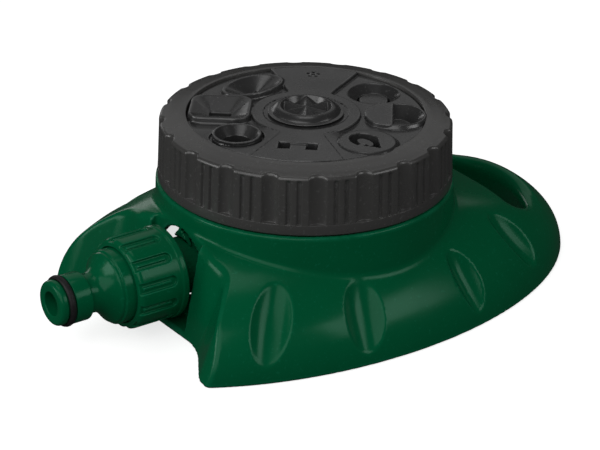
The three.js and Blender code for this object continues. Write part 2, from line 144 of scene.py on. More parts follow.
def turned(x, y, angle):
    """Coordinates seen from axes turned by an angle about Z."""
    c = math.cos(angle)
    s = math.sin(angle)
    return x * c + y * s, y * c - x * s


# ---------- meshing ----------

CORNERS = [(i, j, k) for i in (0, 1) for j in (0, 1) for k in (0, 1)]
EDGES = [
    (a, b)
    for a in range(8)
    for b in range(a + 1, 8)
    if sum(abs(p - q) for p, q in zip(CORNERS[a], CORNERS[b])) == 1
]


def surface_net(shape, low, high, cell):
    """Meshes the zero surface of a shape with one vertex in each grid cell that the surface crosses."""
    axes = [np.arange(lo, hi + cell, cell) for lo, hi in zip(low, high)]
    field = shape(axes[0][:, None, None], axes[1][None, :, None], axes[2][None, None, :])
    field = np.ascontiguousarray(np.broadcast_to(field, [len(a) for a in axes]))
    inside = field < 0
    nx, ny, nz = field.shape
    count = np.zeros((nx - 1, ny - 1, nz - 1), np.int8)
    for i, j, k in CORNERS:
        count += inside[i:nx - 1 + i, j:ny - 1 + j, k:nz - 1 + k]
    active = (count > 0) & (count < 8)
    number = np.full(active.shape, -1, np.int32)
    number[active] = np.arange(active.sum())
    cells = np.argwhere(active)
    values = np.stack([field[cells[:, 0] + i, cells[:, 1] + j, cells[:, 2] + k] for i, j, k in CORNERS], 1)
    total = np.zeros((len(cells), 3))
    hits = np.zeros(len(cells))
    for a, b in EDGES:
        va = values[:, a]
        vb = values[:, b]
        crossed = (va < 0) != (vb < 0)
        share = np.where(crossed, va / np.where(crossed, va - vb, 1), 0)
        start = np.array(CORNERS[a], float)
        along = np.array(CORNERS[b], float) - start
        total += crossed[:, None] * (start + share[:, None] * along)
        hits += crossed
    points = np.array([a[0] for a in axes]) + (cells + total / hits[:, None]) * cell
    quads = []
    for axis in range(3):
        u = (axis + 1) % 3
        v = (axis + 2) % 3
        near = [slice(1, -1)] * 3
        near[axis] = slice(0, -1)
        far = list(near)
        far[axis] = slice(1, None)
        start_in = inside[tuple(near)]
        end_in = inside[tuple(far)]
        spots = np.argwhere(start_in != end_in)
        spots[:, u] += 1
        spots[:, v] += 1
        leaving = start_in[start_in != end_in]
        ring = []
        for du, dv in ((0, 0), (-1, 0), (-1, -1), (0, -1)):
            cell_at = spots.copy()
            cell_at[:, u] += du
            cell_at[:, v] += dv
            ring.append(number[cell_at[:, 0], cell_at[:, 1], cell_at[:, 2]])
        face = np.stack(ring, 1)
        face[~leaving] = face[~leaving][:, ::-1]
        quads.append(face)
    return points, np.concatenate(quads)


def slope_of(shape, points, reach=0.02):
    """Direction and steepness of a shape at some points, by small differences."""
    slope = np.zeros_like(points)
    for axis in range(3):
        shift = np.zeros(3)
        shift[axis] = reach
        ahead = shape(*(points + shift).T)
        behind = shape(*(points - shift).T)
        slope[:, axis] = (ahead - behind) / (2 * reach)
    return slope


def settle(shape, points, limit, rounds=3):
    """Moves points onto the zero surface, each step at most `limit` millimetres."""
    for _ in range(rounds):
        value = shape(*points.T)
        slope = slope_of(shape, points)
        size = np.maximum((slope**2).sum(1), 0.05)
        move = slope * (value / size)[:, None]
        length = np.maximum(np.linalg.norm(move, axis=1), 1e-9)
        points = points - move * np.minimum(1, limit / length)[:, None]
    return points


def relax(points, quads, share=0.5):
    """Moves each vertex part of the way to the middle of its neighbours."""
    total = np.zeros_like(points)
    count = np.zeros(len(points))
    for a, b in ((0, 1), (1, 2), (2, 3), (3, 0)):
        for here, there in ((a, b), (b, a)):
            for axis in range(3):
                total[:, axis] += np.bincount(quads[:, here], points[quads[:, there], axis], len(points))
            count += np.bincount(quads[:, here], minlength=len(points))
    return points + share * (total / count[:, None] - points)


def stand_up(points, turn=0.0):
    """Millimetres from the turret's axis become metres in the row frame."""
    x, y = turned(points[:, 0], points[:, 1], -turn)
    return np.stack([x + turret_x, y, points[:, 2]], 1) * MM


def new_piece(name, places, faces, normals=None):
    """A smooth mesh object, in metres, with its own shading normals when they are given."""
    mesh = bpy.data.meshes.new(name)
    mesh.from_pydata(places, [], faces)
    mesh.validate()
    mesh.polygons.foreach_set("use_smooth", np.ones(len(mesh.polygons), bool))
    if normals is not None:
        mesh.normals_split_custom_set_from_vertices(normals)
    mesh.update()
    piece = bpy.data.objects.new(name, mesh)
    bpy.context.scene.collection.objects.link(piece)
    return piece


def sculpted(name, shape, low, high, cell, turn=0.0):
    """A piece with a fine mesh on the surface of a distance function, shaded by its true slope."""
    points, quads = surface_net(shape, low, high, cell)
    for _ in range(2):
        points = relax(points, quads)
        points = settle(shape, points, cell / 2)
    normals = slope_of(shape, points)
    normals /= np.maximum(np.linalg.norm(normals, axis=1), 1e-9)[:, None]
    c = math.cos(turn)
    s = math.sin(turn)
    normals = np.stack([
        normals[:, 0] * c - normals[:, 1] * s,
        normals[:, 0] * s + normals[:, 1] * c,
        normals[:, 2],
    ], 1)
    return new_piece(name, stand_up(points, turn), quads, normals)


# ---------- base shell ----------

collar_radius = 52.3
collar_flare = 0.02
collar_top = ring_foot - 0.5
deck_top = 39.2
deck_foot = deck_top - wall
port_radius = 31.0  # from the turret's axis to the middle of the water port
port_bore = 8.4
port_x = -port_radius * math.cos(rest_turn)
port_y = -port_radius * math.sin(rest_turn)
detent_radius = 41.0  # from the turret's axis to the click plunger
detent_bore = 2.3
detent_boss = 4.0
detent_boss_foot = 29.0
detent_boss_top = 42.0
detent_angle = rest_turn + math.pi / 2
detent_x = detent_radius * math.cos(detent_angle)
detent_y = detent_radius * math.sin(detent_angle)
screw_reach = 11.5
screw_boss = 3.2
screw_bore = 1.7
screw_boss_top = 43.0
pivot_radius = 6.0
pivot_bore = 1.9
pivot_top = 60.0
over_deck = 50.0  # a height clear of the deck and its bosses
above = 70.0  # a height clear of everything
slot_inner = 70.0
slot_outer = 88.0
slot_half_length = 30.0
slot_corner = 5.0
inlet_pocket_end = -52.4
inlet_pocket_half = 14.6
spigot_radius = 13.8
neck_radius = 10.0


def handle_sheet(x, y):
    """Height of the dished flat that falls from the collar to the handle bar."""
    fall = 30.5 - 0.31 * (x - 53)
    bar = 3.0 * step(x, 86, 94)
    return fall + bar + 0.0012 * y * y


def notch_wall(x, y, z):
    """Below zero in front of the wall round the hose nut, which has two splayed horns."""
    side = np.abs(y)
    splay = 0.645
    foot = -61 - splay * ramp(side - 23.6, 7) + splay * ramp(side - 43, 3) - 0.35 * ramp(side - 48, 4)
    lean = 0.2 + 0.2 * step(side, 20, 34)
    return (x - foot - lean * z) / 1.15


def handle_slot(x, y):
    """Plan of the hand slot: straight towards the turret, bowed outwards, with round ends."""
    side = np.abs(y)
    bow = slot_outer - 0.0118 * side * side
    shape = soft_max(slot_inner - x, x - bow, slot_corner)
    return soft_max(shape, side - slot_half_length, slot_corner)


# Finger dimples in the skirt, the same on both sides: middle, how far the oval leans along X in 12 mm
# of rise, half width and half length.
DIMPLES = [
    {"x": -49.0, "y": 49.8, "z": 17.7, "lean": 3.5, "half": 6.8, "reach": 14.5},
    {"x": -17.6, "y": 60.0, "z": 16.0, "lean": 1.5, "half": 7.2, "reach": 12.6},
    {"x": 27.5, "y": 57.5, "z": 15.5, "lean": -0.6, "half": 5.6, "reach": 12.0},
    {"x": 58.8, "y": 45.3, "z": 18.0, "lean": -1.4, "half": 6.0, "reach": 12.5},
]
dimple_depth = 3.5


def dimple(x, y, z, spot):
    """How far an oval scoop sinks the skirt's surface, in millimetres."""
    normal = Vector((spot["x"] / handle_reach**2, spot["y"] / half_width**2, spot["z"] / dome_height**2))
    normal.normalize()
    tip = Vector((spot["lean"], 0, 12))
    along = (tip - normal * tip.dot(normal)).normalized()
    across = along.cross(normal)
    dx = x - spot["x"]
    dy = np.abs(y) - spot["y"]
    dz = z - spot["z"]
    a = dx * along.x + dy * along.y + dz * along.z
    b = dx * across.x + dy * across.y + dz * across.z
    bowl = 1 - (a / spot["reach"]) ** 2 - (b / spot["half"]) ** 2
    return ramp(dimple_depth * bowl, 0.6)


def outer_form(x, y, z):
    """The outside of the base, carried on below the floor."""
    r = np.hypot(x, y)
    dome = ellipsoid(x, y, np.maximum(z, 0), handle_reach, half_width, dome_height)
    body = soft_max(dome, (z - handle_sheet(x, y)) * 0.95, 7 - 5 * step(x, 82, 94))
    collar = soft_max(r - collar_radius + collar_flare * (z - collar_top), z - collar_top, 1.2)
    body = soft_min(body, collar, 1.6)
    body = carve(body, notch_wall(x, y, z), 2.2 - 0.9 * step(np.abs(y), 33, 44))
    pocket = soft_max(x - inlet_pocket_end, np.abs(y) - inlet_pocket_half, 1.5)
    body = carve(body, np.maximum(pocket, wall - z), 0.6)
    for spot in DIMPLES:
        body = body + dimple(x, y, z, spot)
    return carve(body, handle_slot(x, y), 4.5)


def inlet_hole(x, y, z):
    """The way through the pocket's end wall: a round hole for the neck, with its top corners cut away."""
    rise = z - inlet_height
    across = np.hypot(y, rise)
    neck_hole = across - neck_radius - 2 * gap
    corners = np.maximum(across - spigot_radius - gap, inlet_pocket_half - rise - np.abs(y))
    corners = np.maximum(corners, -rise)
    return np.maximum(np.minimum(neck_hole, corners), between(x, -54, -46))


def base_shape(x, y, z):
    """The whole base: the outer form hollowed from below, with its posts, bosses and bores."""
    r = np.hypot(x, y)
    form = outer_form(x, y, z)
    body = soft_max(form, -z, 0.8)
    hollow = np.maximum(form + wall, z - deck_foot)
    body = carve(body, hollow, 0.8)
    body = carve(body, soft_max(r - collar_radius + wall, deck_top - z, 1), 0.8)
    body = soft_min(body, post(x, y, z, pivot_radius, deck_foot, pivot_top, 0.8), 0.8)
    boss = post(x - detent_x, y - detent_y, z, detent_boss, detent_boss_foot, detent_boss_top, 0.6)
    body = soft_min(body, boss, 0.8)
    for sx in (-1, 1):
        for sy in (-1, 1):
            dx = x - port_x - sx * screw_reach
            dy = y - port_y - sy * screw_reach
            body = soft_min(body, post(dx, dy, z, screw_boss, deck_foot, screw_boss_top, 0.6), 0.6)
            body = np.maximum(body, -post(dx, dy, z, screw_bore, deck_foot - 2, screw_boss_top - 1))
    body = np.maximum(body, -post(x - port_x, y - port_y, z, port_bore, 30, over_deck))
    detent_floor = detent_boss_foot + 1.6
    body = np.maximum(body, -post(x - detent_x, y - detent_y, z, detent_bore, detent_floor, over_deck))
    body = np.maximum(body, -post(x, y, z, pivot_bore, 44, pivot_top + 2))
    return carve(body, inlet_hole(x, y, z), 0.4)


def build_base():
    low = (-80.0, -half_width - 1.5, -1.5)
    high = (handle_reach + 1.5, half_width + 1.5, 62.0)
    cell = 0.94
    piece = sculpted("carry_base", base_shape, low, high, cell)
    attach(piece, "base")
    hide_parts("base_shell")
    return piece


# ---------- pieces swept round an axis ----------

def swept(name, rows, to_space, turn=0.0):
    """A closed ring from angles and, for each angle, one row of radii and heights."""
    angles, radii, heights = rows
    places = to_space(radii * np.cos(angles)[:, None], radii * np.sin(angles)[:, None], heights)
    places = np.stack([p.ravel() for p in places], 1)
    count, length = radii.shape
    here = np.arange(count * length).reshape(count, length)
    after = np.roll(here, -1, 0)
    faces = np.stack([here, after, np.roll(after, -1, 1), np.roll(here, -1, 1)], 2).reshape(-1, 4)
    return new_piece(name, stand_up(places, turn), faces)


def rounded(corners, steps=4):
    """A closed profile from (radius, height, rounding) corners, each rounding a small curve."""
    points = []
    count = len(corners)
    for i, (r, h, rounding) in enumerate(corners):
        corner = np.array([r, h])
        before = np.array(corners[i - 1][:2]) - corner
        after = np.array(corners[(i + 1) % count][:2]) - corner
        back = min(rounding, 0.45 * np.linalg.norm(before))
        ahead = min(rounding, 0.45 * np.linalg.norm(after))
        start = corner + before / np.linalg.norm(before) * back
        end = corner + after / np.linalg.norm(after) * ahead
        for t in np.linspace(0, 1, steps + 1):
            points.append((1 - t) ** 2 * start + 2 * t * (1 - t) * corner + t * t * end)
    return np.array(points)


def along_hose(a, b, x):
    """Puts a profile's axis on the hose line: radius across, height along X."""
    return np.broadcast_to(x, a.shape), a, b + inlet_height


def upright(a, b, z):
    return a, b, np.broadcast_to(z, a.shape)


def lathe(name, corners, to_space, sides=96):
    """A turned piece from a closed profile of (radius, height, rounding) corners."""
    profile = rounded(corners)
    angles = np.linspace(0, 2 * math.pi, sides, endpoint=False)
    radii = np.repeat(profile[None, :, 0], sides, 0)
    heights = np.repeat(profile[None, :, 1], sides, 0)
    return swept(name, (angles, radii, heights), to_space)


# ---------- grip ring ----------

flute_count = 20
flute_half = math.radians(3.2)
flute_depth = 1.6
groove_off = math.radians(6.95)
groove_half = math.radians(0.9)
groove_depth = 0.9
inner_ring = 48.0
disc_radius = 41.3
disc_foot = 59.2


def build_grip_ring():
    """The fluted ring: one closed profile swept round, its flutes and grooves cut by angle."""
    pitch = 2 * math.pi / flute_count
    edge = math.radians(0.3)
    half_pitch = [
        *np.linspace(0, flute_half - edge, 8),
        flute_half - edge / 3,
        flute_half + edge / 2,
        flute_half + edge * 2,
        groove_off - groove_half - edge * 2,
    ]
    for side in (-1, 1):
        for share in (1.3, 1.0, 0.65, 0.4):
            half_pitch.append(groove_off + side * groove_half * share)
    half_pitch += [groove_off, groove_off + groove_half * 1.9]
    half_pitch = np.array(sorted(set(half_pitch)))
    offsets = np.concatenate([-half_pitch[:0:-1], half_pitch])
    angles = np.concatenate([i * pitch + offsets for i in range(flute_count)])
    away = np.abs((angles + pitch / 2) % pitch - pitch / 2)
    flute = flute_depth * np.clip(1 - (away / flute_half) ** 2, 0, 1) ** 0.75
    groove = groove_depth * (1 - step(np.abs(away - groove_off), groove_half * 0.45, groove_half * 1.15))

    top_low = 62.5
    top_high = disc_top - 0.15
    profile = []

    def add(r, z, cut_flute=0.0, cut_groove=0.0):
        profile.append((r, z, cut_flute, cut_groove))

    add(inner_ring + 0.2, ring_foot)
    add(inner_ring, ring_foot + 0.2)
    add(inner_ring, disc_foot + gap)
    add(disc_radius + gap, disc_foot + gap)
    add(disc_radius + gap, top_high - 0.25)
    add(disc_radius + gap + 0.08, top_high - 0.07)
    add(disc_radius + gap + 0.3, top_high)
    for share in (0.25, 0.5, 0.7):
        r = disc_radius + gap + share * (ring_radius - disc_radius)
        add(r, top_high - share * (top_high - top_low))
    add(ring_radius - 2.0, top_low + 0.3, 0.1)
    add(ring_radius - 1.4, top_low + 0.2, 0.6)
    add(ring_radius - 1.0, top_low + 0.1, 1.0)
    add(ring_radius - 0.75, top_low, 1.0)
    add(ring_radius - 0.4, top_low - 0.3, 1.0)
    add(ring_radius - 0.08, top_low - 0.75, 1.0)
    add(ring_radius, top_low - 1.1, 1.0)
    add(ring_radius, top_low - 1.5, 1.0, 0.3)
    add(ring_radius, top_low - 1.9, 1.0, 0.85)
    add(ring_radius + 0.02, top_low - 2.4, 1.0, 1.0)
    for share in np.linspace(0.2, 1, 6):
        z = top_low - 2.4 + share * (band_top + 1.2 - top_low + 2.4)
        add(ring_radius + 0.02 + 0.45 * share, z, 1.0, 1.0)
    add(ring_radius + 0.5, band_top + 0.15, 1.0, 0.9)
    add(ring_radius + 0.5, band_top + 0.03, 1.0, 0.9)
    add(ring_radius + 0.5, band_top, 0.93, 0.8)
    add(ring_radius + 0.54, band_top, 0.07, 0.1)
    add(ring_radius + 0.54, band_top - 0.04)
    add(ring_radius + 0.55, band_top - 0.2)
    add(band_radius, ring_foot + 0.5)
    add(band_radius - 0.1, ring_foot + 0.15)
    add(band_radius - 0.4, ring_foot)
    table = np.array(profile)
    radii = table[None, :, 0] - flute[:, None] * table[None, :, 2] - groove[:, None] * table[None, :, 3]
    at_top = (table[:, 1] > top_low - 1.2) * table[:, 2]
    heights = table[None, :, 1] + 0.24 * flute[:, None] * at_top[None, :]
    piece = swept("fluted_grip_ring", (angles, radii, heights), upright, rest_turn)
    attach(piece, "turret")
    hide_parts("grip_ring")
    return piece


# ---------- pattern disc ----------
# The eight spray openings stand about 45 degrees apart, in the turret's own axes.

recess_floor = 63.2
hub_land = 19.0
hub_hole = 11.4
hub_seat = 60.2
cup_rim = 65.4


def frustum(dx, dy, z, foot, top, foot_half, top_half, foot_corner, top_corner):
    """A hopper with rounded rectangular sections that grow from its foot to its top."""
    t = np.clip((z - foot) / (top - foot), 0, 1.3)
    half_x = foot_half[0] + t * (top_half[0] - foot_half[0])
    half_y = foot_half[1] + t * (top_half[1] - foot_half[1])
    corner = foot_corner + t * (top_corner - foot_corner)
    steep = (top - foot) / math.hypot(top - foot, top_half[0] - foot_half[0])
    return np.maximum(rounded_rectangle(dx, dy, half_x, half_y, corner) * steep, foot - z)


def oval(dx, dy, a, b):
    """An upright oval column with half widths a and b."""
    scale = np.sqrt((dx / a) ** 2 + (dy / b) ** 2)
    return (scale - 1) * min(a, b)


def cone_dish(dx, dy, z, foot, top, foot_radius, top_radius):
    """A round dish that widens from its foot to its top."""
    t = np.clip((z - foot) / (top - foot), 0, 1.4)
    steep = (top - foot) / math.hypot(top - foot, top_radius - foot_radius)
    return np.maximum((np.hypot(dx, dy) - foot_radius - t * (top_radius - foot_radius)) * steep, foot - z)


def sector(x, y, middle, half_angle):
    """Below zero within half_angle of the middle direction."""
    a, b = turned(x, y, middle)
    return np.abs(b) * math.cos(half_angle) - a * math.sin(half_angle)


def small_holes(body, x, y, z):
    """Opening 0: a cluster of fine holes."""
    for i in range(6):
        angle = 2 * math.pi * i / 5
        reach = 0 if i == 5 else 1.9
        hole_x = reach * math.cos(angle)
        hole_y = reach * math.sin(angle)
        body = np.maximum(body, -post(x - hole_x, y - hole_y, z, 0.55, 60, above))
    return body


def wide_dish(body, x, y, z):
    """Opening 1: a dish with a flat in it and a crescent gap beside the flat."""
    body = carve(body, cone_dish(x, y, z, 60.4, recess_floor, 5.8, 9.3), 0.4)
    shift = 0.45
    flat = np.hypot(x - shift, y - shift) - 5.2
    crescent = np.maximum(np.hypot(x, y) - 5.8, -flat)
    return np.maximum(body, -np.maximum(crescent, between(z, 58, above)))


def half_covered_cup(body, x, y, z):
    """Opening 2: a cup with a plate over its inner half."""
    rim = 64.7
    outside = (np.hypot(x, y) - 9.8 - 0.6 * (rim - z)) * 0.85
    body = soft_min(body, soft_max(outside, between(z, recess_floor - 1, rim), 0.4), 0.4)
    body = carve(body, cone_dish(x, y, z, 60.6, rim, 4.6, 9.2), 0.3)
    plate = soft_max(oval(x + 2.6, y, 8.8, 9.9), x + 1.6, 0.8)
    plate = soft_max(plate, between(z, 60, rim + 0.15), 0.3)
    return soft_min(body, plate, 0.15)


def arrow_slot(body, x, y, z):
    """Opening 3: a low round boss with a teardrop slot round an island."""
    rim = 64.9
    boss = (np.hypot(x, y) - 9.6 - 0.9 * (rim - z)) * 0.74
    body = soft_min(body, soft_max(boss, between(z, 60, rim), 0.5), 0.4)
    point = np.clip(1 - ramp(x + 0.5, 1.5) / 9, 0.15, 1)
    tear = (np.sqrt((x / 7.2) ** 2 + (y / (4.9 * point)) ** 2) - 1) * 3.4
    island = (np.sqrt(((x + 0.9) / 3.6) ** 2 + (y / 2.1) ** 2) - 1) * 2
    slot = np.maximum(tear, -island)
    bridge = np.maximum(np.abs(x - 1.2) - 0.8, y)
    slot = np.maximum(slot, -bridge)
    body = np.maximum(body, -np.maximum(slot, between(z, 60, above)))
    return np.maximum(body, -np.maximum(island - 0.1, 64.1 - z))


def twin_slots(body, x, y, z):
    """Opening 4: two square slots with a lowered tab between them."""
    for side in (-1, 1):
        cutter = box_shape(x + 2.2, y - side * 4.7, z - 63, 2.6, 1.95, 4, 0.2)
        body = carve(body, cutter, 0.15)
    tab = box_shape(x + 2.2, y, z - 64.6, 2.6, 3.0, 0.85, 0.1)
    return carve(body, tab, 0.1)


def round_cup(body, x, y, z):
    """Opening 5: a round cup that stands proud, with a wide bore."""
    groove = np.maximum(np.abs(np.hypot(x, y) - 8.9) - 0.5, recess_floor - 0.6 - z)
    body = carve(body, groove, 0.3)
    outside = (np.hypot(x, y) - 8.5 + 0.25 * (cup_rim - z)) * 0.95
    body = soft_min(body, soft_max(outside, between(z, recess_floor - 1, cup_rim), 0.4), 0.2)
    bore = 4.8
    body = carve(body, cone_dish(x, y, z, 62.2, cup_rim, bore, 7.7), 0.3)
    return np.maximum(body, -post(x, y, z, bore, 58, above))


def square_hopper(body, x, y, z):
    """Opening 6: a square hopper with round corners and a slot along the radius."""
    outside = rounded_rectangle(x, y, 10.5, 10.5, 5) - 0.25 * (cup_rim - z)
    outside = soft_max(outside * 0.97, between(z, recess_floor - 1, cup_rim), 0.4)
    body = soft_min(body, outside, 0.5)
    funnel = frustum(x, y, z, 62.3, cup_rim, (3.9, 1.9), (10.0, 9.9), 1.2, 4.4)
    body = carve(body, funnel, 0.3)
    return np.maximum(body, -box_shape(x, y, z - 60, 3.9, 1.5, 4, 0.3))


def oval_hopper(body, x, y, z):
    """Opening 7: an oval hopper that lies across the radius."""
    outside = oval(x, y, 7.4, 12.4) - 0.25 * (cup_rim - z)
    outside = soft_max(outside * 0.95, between(z, recess_floor - 1, cup_rim), 0.4)
    body = soft_min(body, outside, 0.5)
    foot = 61.6
    t = np.clip((z - foot) / (cup_rim - foot), 0, 1.3)
    half_x = 1.1 + 5.7 * t
    half_y = 2.6 + 9.1 * t
    funnel = (np.sqrt((x / half_x) ** 2 + (y / half_y) ** 2) - 1) * half_x * 0.6
    body = carve(body, np.maximum(funnel, foot - z), 0.3)
    return np.maximum(body, -box_shape(x, y, z - 60, 1.0, 2.4, 4, 0.3))


# (how the opening is cut, radius it stands on, degrees round the turret)
OPENINGS = [
    (small_holes, 34.5, 45),
    (wide_dish, 31.6, 0),
    (half_covered_cup, 31.8, -43),
    (arrow_slot, 32.5, -91),
    (twin_slots, 31.0, -136),
    (round_cup, 31.4, 181),
    (square_hopper, 29.8, 136),
    (oval_hopper, 28.8, 90),
]


def disc_shape(x, y, z):
    """The disc with its flange, two sunken sectors, the land round the hub and the eight openings."""
    r = np.hypot(x, y)
    underside = 56.6
    plate = soft_max(r - disc_radius, between(z, underside, disc_top), 0.5)
    flange = np.maximum(r - inner_ring + gap, between(z, underside, disc_foot))
    body = np.minimum(plate, flange)
    for middle, hand, rise_from in ((135, 1, 20), (-45, -1, 40)):
        a, b = turned(x, y, math.radians(middle))
        bearing = hand * np.degrees(np.arctan2(b, a))
        recess = soft_max(sector(x, y, math.radians(middle), math.radians(67.5)), hub_land - r, 2)
        floor = recess_floor + (disc_top - recess_floor) * step(bearing, rise_from, 66)
        body = carve(body, np.maximum(recess, floor - z), 0.5)
    body = carve(body, np.maximum(r - 14.8, disc_top - 0.3 - z), 0.3)
    for cut, radius, degrees in OPENINGS:
        a, b = turned(x, y, math.radians(degrees))
        body = cut(body, a - radius, b, z)
    body = np.maximum(body, -np.maximum(r - hub_hole, hub_seat - z))
    return np.maximum(body, pivot_radius + gap - r)


def build_pattern_disc():
    reach = inner_ring + 0.6
    low = (-reach, -reach, 55.8)
    high = (reach, reach, cup_rim + 1.2)
    cell = 0.46
    piece = sculpted("spray_disc", disc_shape, low, high, cell, rest_turn)
    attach(piece, "turret")
    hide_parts("pattern_disc")
    return piece


# ---------- hub cap ----------

cap_radius = 13.3
crown_radius = 12.3
pit_radius = 8.9


def cap_shape(x, y, z):
    """A round button on a stepped brim, with six V-shaped pits that meet in the middle of its top."""
    r = np.hypot(x, y)
    brim_foot = disc_top + gap
    brim = soft_max(r - cap_radius, between(z, brim_foot, brim_foot + 0.35), 0.3)
    crown = soft_max(r - crown_radius + 1.1 * (z - brim_foot - 0.3), between(z, brim_foot, cap_top), 1.3)
    body = soft_min(brim, crown, 0.3)
    skirt = np.maximum(np.abs(r - 10.4) - 0.7, between(z, 62.2, brim_foot + 0.3))
    body = np.minimum(body, skirt)
    pit = math.radians(60)
    from_valley = np.arctan2(y, x) - math.radians(19)
    crest = np.abs((from_valley + pit / 2) % pit - pit / 2) / (pit / 2)
    floor = cap_top - 0.5 - 2.1 * (1 - crest) * np.clip(r / 7.8, 0, 1)
    rim_slope = (r - pit_radius + 0.5 * (cap_top - z)) * 0.9
    return carve(body, soft_max(rim_slope, (floor - z) * 0.8, 0.3), 0.25)


def build_hub_cap():
    reach = cap_radius + 0.5
    low = (-reach, -reach, 61.6)
    high = (reach, reach, 67.9)
    piece = sculpted("star_hub_cap", cap_shape, low, high, 0.2, rest_turn)
    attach(piece, "turret")
    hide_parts("hub_cap")
    return piece


# ---------- hose inlet ----------

nut_front = nut_low[0] - turret_x
nut_back = nut_high[0] - turret_x
hose_end = nipple_low[0] - turret_x
nut_grooves = 12
nut_radius = 16.0
nut_mouth = 13.3
groove_width = 3.6


def nut_shape(x, y, z):
    """The union nut: twelve round-ended grooves with a rib in each, a collar behind and a bore."""
    across = z - inlet_height
    q = np.hypot(y, across)
    angle = np.arctan2(y, across)
    pitch = 2 * math.pi / nut_grooves
    local = (angle + pitch) % pitch - pitch / 2
    side = local * q
    body = soft_max(q - nut_radius, nut_front - x, 2.6)
    body = soft_max(body, x - nut_back, 1)
    collar = soft_max(q - nut_radius - 0.3, between(x, nut_back - 2.6, nut_back), 0.7)
    body = soft_min(body, collar, 0.3)
    groove_end = nut_back - 4.6
    half = groove_width / 2
    groove = np.hypot(side, np.maximum(x - groove_end + half, 0)) - half
    groove = soft_max(groove, nut_radius - 1.1 - q, 0.5)
    body = carve(body, groove, 0.4)
    rib = np.hypot(side, np.maximum(x - groove_end + 2.4, 0)) - 0.5
    rib = soft_max(rib, between(q, nut_radius - 2, nut_radius - 0.45), 0.3)
    rib = np.maximum(rib, nut_front + 1.6 - x)
    body = soft_min(body, rib, 0.3)
    body = carve(body, np.maximum(q - nut_mouth, between(x, nut_front - 5, nut_front + 3)), 0.5)
    return np.maximum(body, -np.maximum(q - spigot_radius - gap, nut_front + 0.9 - x))


def build_nut():
    reach = nut_radius + 0.9
    low = (nut_front - 0.7, -reach, inlet_height - reach)
    high = (nut_back + 0.7, reach, inlet_height + reach)
    cell = 0.33
    piece = sculpted("union_nut", nut_shape, low, high, cell)
    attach(piece, "nut")
    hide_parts("coupling_nut")
    return piece


def build_nipple():
    """The quick-connector nipple: seal groove, claw groove, a flared neck and a stepped flange."""
    bore = 4.2
    lip = 7.9
    barrel = 8.5
    seal_start = hose_end + 2.7
    seal_end = seal_start + 3.0
    claw_start = hose_end + 12.3
    claw_end = hose_end + 15.9
    flange = nut_front + 1.0
    corners = [
        (bore, hose_end + 0.2, 0.4),
        (lip - 0.9, hose_end, 0.9),
        (lip, hose_end + 1.0, 0.9),
        (lip, seal_start, 0.2),
        (7.3, seal_start, 0.1),
        (7.3, seal_end, 0.1),
        (barrel, seal_end, 0.3),
        (barrel, claw_start - 0.6, 0.5),
        (barrel - 0.5, claw_start, 0.3),
        (6.9, claw_start, 0.4),
        (6.9, claw_end, 1.4),
        (8.0, hose_end + 17.7, 1.2),
        (10.2, hose_end + 19.7, 1.2),
        (12.2, hose_end + 21.1, 0.6),
        (12.3, hose_end + 22.1, 0.3),
        (13.0, hose_end + 22.3, 0.3),
        (13.0, flange - 0.2, 0.2),
        (13.7, flange + 0.6, 0.2),
        (13.7, flange + 1.2, 0.2),
        (9.0, flange + 1.2, 0.4),
        (6.0, hose_end + 23.3, 1.5),
        (bore, hose_end + 17.3, 1.5),
    ]
    piece = lathe("hose_spigot", corners, along_hose)
    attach(piece, "base")
    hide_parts("hose_nipple")
    return piece


def build_nipple_seal():
    """The O-ring, an oval section that lies in the nipple's seal groove."""
    middle_radius = 8.15
    half_height = 0.85
    half_width = 1.25
    middle_x = (seal_low[0] + seal_high[0]) / 2 - turret_x
    corners = []
    for i in range(8):
        angle = 2 * math.pi * i / 8
        r = middle_radius + half_height * math.cos(angle)
        corners.append((r, middle_x + half_width * math.sin(angle), 0.3))
    piece = lathe("hose_o_ring", corners, along_hose)
    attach(piece, "base")
    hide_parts("nipple_seal")
    return piece


# ---------- materials ----------

def linear(red, green, blue):
    """A colour as read off a screen, in linear light."""
    def one(v):
        v = v / 255
        return v / 12.92 if v <= 0.04045 else ((v + 0.055) / 1.055) ** 2.4
    return (one(red), one(green), one(blue), 1)


